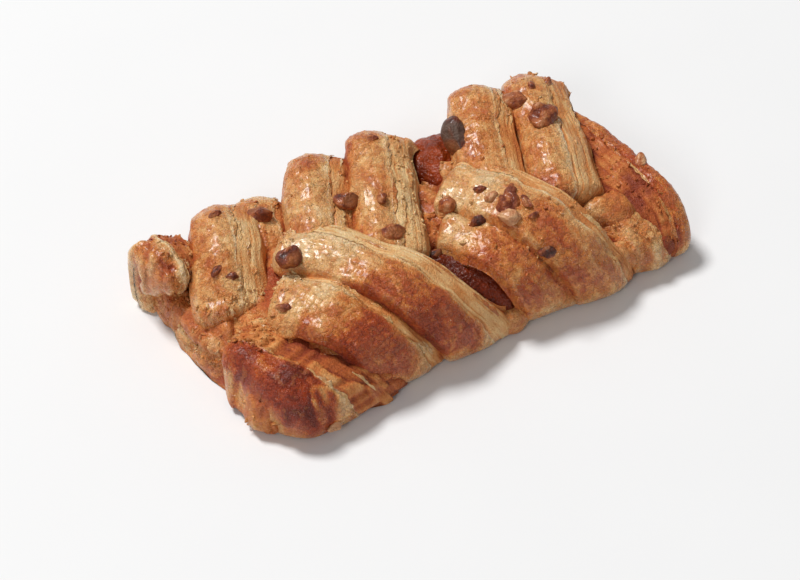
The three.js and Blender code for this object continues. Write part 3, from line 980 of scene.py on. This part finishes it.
def lump_shape(lump, points):
    """A unit ball's points made into a lump and put in its place."""
    x, y, z = points.T
    broad = np.sin(3.1 * x + lump.at[0]) * np.cos(2.7 * y + lump.at[1])
    swell = broad + 0.6 * np.sin(4.3 * z + lump.at[2] + 2 * x)
    across = np.hypot(y, z)
    square = np.hypot(x, across) * (np.abs(x) ** lump.blunt + across ** lump.blunt) ** (-1 / lump.blunt)
    shaped = points * (square * (1 + lump.rough * swell))[:, None] * np.array(lump.size) / 2
    turned = Matrix.Rotation(math.radians(lump.turn), 3, "Z")
    tilted = Matrix.Rotation(math.radians(-lump.tilt), 3, "Y")
    return shaped @ np.array(turned @ tilted).T + np.array(lump.at)


# Rays from points on the strips, for the shade painted into the dough's nooks
NOOK_STEP = 4  # rings and columns from one point that is tried to the next
NOOK_RAYS = 14
NOOK_REACH = 7.0
NOOK_START = 0.7


def nook_rays():
    """Directions spread over a half ball round +Z."""
    rays = []
    for k in range(NOOK_RAYS):
        height = (k + 0.7) / NOOK_RAYS
        angle = 2.4 * k
        wide = math.sqrt(1 - height * height)
        rays.append((wide * math.cos(angle), wide * math.sin(angle), height))
    return np.array(rays)


def nooks(points, normals, tree):
    """How shut in each point is, from 0 in the open to 1: the shade painted into the dough's colour."""
    rays = nook_rays()
    shut = np.zeros(len(points))
    for k, (point, normal) in enumerate(zip(points, normals)):
        turn = np.array(Vector(normal).to_track_quat("Z", "Y").to_matrix())
        origin = Vector(point + normal * NOOK_START)
        for ray in rays @ turn.T:
            hit = tree.ray_cast(origin, Vector(ray), NOOK_REACH)
            if hit[3] is not None:
                shut[k] += 1 - hit[3] / NOOK_REACH
    return shut / len(rays)


def spread(coarse, rows, columns, shape):
    """Numbers known at some rows and columns of a grid, filled in over all of it."""
    wide = np.array([np.interp(np.arange(shape[1]), columns, row) for row in coarse])
    return np.array([np.interp(np.arange(shape[0]), rows, column) for column in wide.T]).T


def make_dough(finish):
    """Every strip and the base, with the painted shade of the nooks between them found first."""
    surfaces = [(strip.name, *strip_surface(strip, k)) for k, strip in enumerate(STRIPS)]
    base_points, base_measures = base_surface()
    corners, polygons = [], []
    count = 0
    for points in [s[1] for s in surfaces] + [base_points]:
        thin_points, quads, _ = closed_grid(points[::3, ::2])
        corners.extend(thin_points.tolist())
        polygons.extend((quads + count).tolist())
        count += len(thin_points)
    tree = BVHTree.FromPolygons(corners, polygons)

    rows = np.arange(0, RINGS, NOOK_STEP)
    columns = np.arange(0, CRUST_COLUMNS + BAND_COLUMNS, NOOK_STEP)
    some = np.ix_(rows, columns)
    for name, points, normals, measures in surfaces:
        shut = nooks(points[some].reshape(-1, 3), normals[some].reshape(-1, 3), tree)
        measures["nook"] = spread(shut.reshape(len(rows), len(columns)), rows, columns, points.shape[:2])
        make_rings(f"strip_{name}", points, measures, finish)
    # Painted shade on the base: some all over, more high up in the middle, under the strips
    under_strips_shade = smooth(7, 11, base_points[..., 2]) * smooth(60, 54, np.abs(base_points[..., 0]))
    base_measures["nook"] = 0.1 + 0.6 * under_strips_shade
    make_rings("base_dough", base_points, base_measures, finish)
    base_normals = grid_normals(base_points, np.array([0, 0, 1]))
    return surfaces + [("base", base_points, base_normals, base_measures)]


USUAL_GRAINS = (0.2, 0.98, 6, 96, 26)
GRAINS = {  # on a strip: from and to, as shares of its length, the columns, and how many
    "base": (0, 0.1, 4, 70, 160),
    "torn_end": (0, 1, 0, 1, 70),
    "front_1": (0.74, 0.99, 40, 98, 160),
    "back_1": (0.84, 0.99, 4, 98, 90),
    "back_0": (0.3, 0.98, 30, 98, 90),
    "front_2a": (0.86, 0.99, 4, 90, 60),
    "front_2b": (0.9, 0.99, 4, 90, 60),
    "back_2b": (0.4, 0.98, 60, 98, 70),
    "front_3c": (0.3, 0.98, 4, 98, 70),
    "front_4": (0.1, 0.9, 44, 98, 140),
}
FLAKES = 13  # on each strip
FLAKES_ON = {"base": 30, "front_4": 2}
FLAKE_THICKNESS = 0.13
FLAKE_COLUMNS = 6
FLAKE_LEAN = 3  # columns of a strip over which a flake takes its way across
FLAKES_FROM_Y = -14  # the base has none in front of this


def dough_numbers(points, bake, band, sheet, nook, axes, apart):
    """The numbers that a bit of dough's finish uses, with its streaks along the first of two axes."""
    same = np.ones(len(points))
    return {
        "bake": same * bake,
        "band": same * band,
        "sheet": same * sheet,
        "nook": same * nook,
        "lengthwise": points[:, axes[0]],
        "crosswise": points[:, axes[1]] + apart,
    }


def make_dough_lumps(finish):
    """Ends of dough that show between the strips, some of them torn."""
    points, faces = ball(5)
    parts = []
    for k, lump in enumerate(DOUGH_LUMPS):
        shaped = lump_shape(lump, points)
        torn = 0.3 * plates(shaped, 980 + k) + 0.7 * noise(shaped / 2.2, 940 + k)
        torn = torn + 0.6 * noise(shaped / 1, 945 + k)
        relief = 0.35 * noise(shaped / 3, 950 + k) + 0.1 * noise(shaped / 1.2, 960 + k) + lump.crag * torn
        shaped = above_table(shaped + points * relief[:, None])
        bake = lump.tone + 0.08 * noise(shaped / 3, 970) - 0.18 * lump.crag * torn
        # Painted shade on the lumps, more on the torn ones
        nook = 0.1 + 0.2 * lump.crag
        numbers = dough_numbers(shaped, bake, 0.4 * lump.crag, 0.2, nook, (0, 2), LUMPS_APART)
        parts.append((shaped, faces, numbers))
    make_bits("dough_ends", parts, finish)
    torn_ends = []
    for lump, (shaped, _, numbers) in zip(DOUGH_LUMPS, parts):
        if lump.crag >= 0.5:
            columns = {key: values[:, None] for key, values in numbers.items()}
            torn_ends.append(("torn_end", shaped[:, None], None, columns))
    return torn_ends


def thin_sheet(top, normals):
    """Points and quads of a thin closed sheet under a grid of points."""
    rows, columns = top.shape[:2]
    below = top - normals * FLAKE_THICKNESS
    upper = np.arange(rows * columns).reshape(rows, columns)
    lower = upper + rows * columns
    quads = []
    for layer in (upper, lower[:, ::-1]):
        cells = np.stack([layer[:-1, :-1], layer[:-1, 1:], layer[1:, 1:], layer[1:, :-1]], -1)
        quads.append(cells.reshape(-1, 4))
    rim = np.concatenate([upper[0, :-1], upper[:-1, -1], upper[-1, :0:-1], upper[:0:-1, 0]])
    after = np.roll(rim, -1)
    quads.append(np.stack([after, rim, rim + rows * columns, after + rows * columns], -1))
    return np.concatenate([top.reshape(-1, 3), below.reshape(-1, 3)]), np.concatenate(quads)


def flake(points, normals, row, column, size, draw):
    """A thin flake of crust that curls up from a strip: its top as a grid of points, and its normals."""
    rows = slice(row, row + size)
    base = points[rows, column]
    up = normals[rows, column]
    across = points[rows, column + FLAKE_LEAN] - base
    across /= np.linalg.norm(across, axis=1, keepdims=True)
    share = np.linspace(0, 1, size)
    width = draw.uniform(0.4, 1.2) * np.sin(math.pi * between(0.04, 0.96, share)) ** 0.7
    width = width * (1 + 0.5 * noise_line(share * size / 3, draw.integers(1000)))
    curl = draw.uniform(0.05, 0.4)
    grid = []
    for v in np.linspace(-0.35, 1, FLAKE_COLUMNS):
        rise = 0.1 + curl * np.maximum(v, 0) ** 1.6
        grid.append(base + across * (width * v)[:, None] + up * (rise * width ** 0.5)[:, None])
    return np.stack(grid, 1), np.stack([up] * FLAKE_COLUMNS, 1)


def make_flakes(finish, surfaces):
    """Thin flakes along the lips and on the cut edges of the strips, and on the left end of the base."""
    draw = np.random.default_rng(FLAKE_SEED)
    lip = CRUST_COLUMNS - 1
    parts = []
    for name, points, normals, measures in surfaces:
        for _ in range(FLAKES_ON.get(name, FLAKES)):
            size = int(draw.integers(8, 30))
            if name == "base":
                column = int(draw.integers(5, 66))
                row = int(draw.integers(2, 34))
                if points[row, column, 1] < FLAKES_FROM_Y:
                    continue
            else:
                column = int(draw.choice([lip, lip, lip + draw.integers(4, BAND_COLUMNS - 8)]))
                row = int(draw.integers(RINGS // 10, RINGS - TIP_RINGS // 2 - size))
            flake_points, quads = thin_sheet(*flake(points, normals, row, column, size, draw))
            triangles = facing_out(flake_points, triangles_of(quads))
            baked = measures["bake"][row, column if name == "base" else lip - 4]
            bake = draw.uniform(0.05, 0.3) + 0.3 * baked
            numbers = dough_numbers(flake_points, bake, 0, 0, 0, (1, 0), FLAKES_APART)
            parts.append((flake_points, triangles, numbers))
    make_bits("flakes", parts, finish)


def make_grains(finish, surfaces):
    """Small grains and splinters of crust, thickest where the dough is torn."""
    draw = np.random.default_rng(GRAIN_SEED)
    ball_points, faces = ball(2)
    parts = []
    for name, points, normals, measures in surfaces:
        first, last, left, right, count = GRAINS.get(name, USUAL_GRAINS)
        is_strip = name not in ("base", "torn_end")
        rows_at = measures["lengthwise"][:, 0] if is_strip else np.arange(len(points))
        ends = rows_at[0], rows_at[-1]
        for _ in range(count):
            place = between(ends[0], ends[1], draw.uniform(first, last))
            row = min(np.searchsorted(rows_at, place), len(points) - 1)
            column = draw.integers(left, right)
            turned, _ = np.linalg.qr(draw.normal(size=(3, 3)))
            size = 0.2 + draw.uniform(0, 0.75) ** 2
            shape = ball_points * (1 + 0.3 * draw.normal(size=(len(ball_points), 1)).clip(-1, 1))
            shape = shape * np.array([1.3, 0.9, 0.5]) * size @ turned + points[row, column]
            bake, band, sheet = (measures[key][row, column] for key in ("bake", "band", "sheet"))
            bake = bake + draw.uniform(-0.15, 0.1)
            numbers = dough_numbers(shape, bake, band, sheet, 0, (1, 0), GRAINS_APART)
            parts.append((shape, faces if np.linalg.det(turned) > 0 else faces[:, ::-1], numbers))
    make_bits("grains", parts, finish)


def make_filling(finish):
    """The log of maple filling, and where it rises into the openings."""
    step = np.linspace(0.02, 0.98, FILLING_RINGS)
    share = -np.cos(math.pi * step)[:, None]
    rounding = np.sqrt(np.sqrt(1 - share ** 2))
    lumpy = 1 + 0.08 * np.sin(9 * share) + 0.05 * np.sin(23 * share)
    angle = np.linspace(0, 2 * math.pi, FILLING_AROUND, endpoint=False)
    y = FILLING_WIDTH / 2 * rounding * lumpy * np.cos(angle)
    z = FILLING_LEVEL + FILLING_HEIGHT / 2 * rounding * lumpy * np.sin(angle)
    log = np.stack([FILLING_LENGTH / 2 * share + 0 * y, y, z], -1)
    log_points, quads, ends = closed_grid(log)
    triangles = facing_out(log_points, np.concatenate([ends, triangles_of(quads)]))
    parts = [(log_points, triangles, {"tone": np.full(len(log_points), 0.3)})]
    points, faces = ball(5)
    for k, opening in enumerate(OPENINGS):
        shaped = lump_shape(opening, points)
        rough = 0.9 * noise(shaped / 3.4, 700 + k) + 0.5 * noise(shaped / 1.4, 710 + k)
        shaped = shaped + points * rough[:, None]
        parts.append((shaped, faces, {"tone": opening.tone + 0.15 * noise(shaped / 2, 720 + k)}))
    make_bits("maple_filling", parts, finish, "filling")


def nut_shape(nut, points, seed):
    """A pecan piece: a kernel with a shallow furrow and a broken face, and the numbers its finish uses."""
    draw = np.random.default_rng(seed)
    shaped = points.copy()
    broken = np.zeros(len(points))
    for _ in range(3):
        way = draw.normal(size=3)
        way /= np.linalg.norm(way)
        over = np.maximum(0, shaped @ way - draw.uniform(0.6, 0.9))
        shaped -= over[:, None] * way * 0.75
        broken = np.maximum(broken, smooth(0, 0.12, over))
    shaped[:, 1] *= 1 - 0.3 * smooth(0.1, 1, shaped[:, 0])
    side = shaped[:, 1] + 0.15 * np.sin(2 * shaped[:, 0] + seed)
    groove = 0.6 * np.exp(-((side / 0.24) ** 2)) * smooth(-0.1, 0.4, shaped[:, 2])
    wrinkle = noise(np.stack([1.6 * shaped[:, 0], 3.2 * side, 2.4 * shaped[:, 2]], -1), seed + 2)
    furrow = np.clip(0.5 + 0.5 * wrinkle - 0.5 * groove, 0, 1)
    shaped *= (1 - 0.1 * groove + 0.07 * wrinkle)[:, None]
    placed = lump_shape(nut, shaped)
    rough = 0.2 * noise(placed / 1.5, seed) + 0.1 * noise(placed / 0.6, seed + 1)
    rough = rough + nut.crag * (0.9 * noise(placed / 2.1, seed + 3) + 0.7 * noise(placed / 1.1, seed + 4))
    placed += points * rough[:, None]
    measures = {
        "tone": np.full(len(points), nut.tone),
        "char": nut.char * smooth(0.8, 0.35, np.abs(points[:, 0] - 0.1)) * smooth(-0.2, 0.3, points[:, 2]),
        "broken": broken,
        "furrow": furrow,
    }
    return placed, measures


def make_nuts(finish):
    points, faces = ball(5)
    for k, nut in enumerate(PECANS):
        placed, measures = nut_shape(nut, points, NUT_SEED + k)
        name = f"pecan_{k + 1}"
        make_piece(f"{name}_piece", placed, NO_QUADS, faces, measures, finish, name)


def make_crumbs(finish):
    """Crumbs of nut and dough on the crust."""
    points, faces = ball(4)
    parts = []
    for k, crumb in enumerate(CRUMBS):
        placed, measures = nut_shape(crumb, points, CRUMB_SEED + k)
        parts.append((placed, faces, measures))
    make_bits("crumbs", parts, finish)


# Light, floor and camera

AZIMUTH = -33.2
ELEVATION = 45.0
PIXELS_WIDE = 800
FOCAL_PIXELS = 2200
PIXELS_PER_MM = 3.6
ORIGIN_PIXEL = (412.5, 274.4)
MIDDLE_PIXEL = (400, 290)
SENSOR_MM = 36
KEY_LIGHT = ((-0.75, 1.9, 3.5), 1.1, 143)  # place and width in metres, power in watts
FILL_LIGHT = ((-2.4, -1.5, 2.0), 1.2, 22)
SKY_STRENGTH = 0.24
FLOOR_REACH = 3.0
FLOOR_GAP = 0.0002  # between the floor and the pastry, so that their faces don't coincide


def make_camera():
    """The camera at the photograph's viewing angle, with the origin at its pixel."""
    data = bpy.data.cameras.new("camera")
    data.sensor_width = SENSOR_MM
    data.lens = SENSOR_MM * FOCAL_PIXELS / PIXELS_WIDE
    data.shift_x = (MIDDLE_PIXEL[0] - ORIGIN_PIXEL[0]) / PIXELS_WIDE
    data.shift_y = (ORIGIN_PIXEL[1] - MIDDLE_PIXEL[1]) / PIXELS_WIDE
    data.clip_start = 0.01
    turn, lift = math.radians(AZIMUTH), math.radians(ELEVATION)
    back = Vector((math.sin(turn) * math.cos(lift), -math.cos(turn) * math.cos(lift), math.sin(lift)))
    camera = put_in_scene("camera", data)
    camera.location = back * (FOCAL_PIXELS / PIXELS_PER_MM * MM)
    camera.rotation_euler = back.to_track_quat("Z", "Y").to_euler()
    bpy.context.scene.camera = camera


def make_light(name, place, size, power):
    data = bpy.data.lights.new(name, "AREA")
    data.shape = "DISK"
    data.size = size
    data.energy = power
    light = put_in_scene(name, data)
    light.location = place
    light.rotation_euler = Vector(place).to_track_quat("Z", "Y").to_euler()


def make_studio():
    """A pale floor, a large soft light from the back left and a weak one from the front."""
    mesh = bpy.data.meshes.new("floor")
    corners = [(FLOOR_REACH * x, FLOOR_REACH * y, 0) for x, y in ((-1, -1), (1, -1), (1, 1), (-1, 1))]
    mesh.from_pydata(corners, [], [(0, 1, 2, 3)])
    mesh.materials.append(floor_finish())
    floor = put_in_scene("floor", mesh)
    floor.location.z = -FLOOR_GAP
    make_light("key", *KEY_LIGHT)
    make_light("fill", *FILL_LIGHT)
    world = bpy.data.worlds.new("studio")
    world.use_nodes = True
    sky = world.node_tree.nodes["Background"]
    sky.inputs["Color"].default_value = (1, 1, 1, 1)
    sky.inputs["Strength"].default_value = SKY_STRENGTH
    bpy.context.scene.world = world
    bpy.context.scene.view_settings.view_transform = "Standard"


make_camera()
make_studio()
dough = dough_finish()
nut = nut_finish()
strip_surfaces = make_dough(dough)
make_flakes(dough, strip_surfaces)
make_grains(dough, strip_surfaces + make_dough_lumps(dough))
make_filling(syrup_finish())
make_nuts(nut)
make_crumbs(nut)
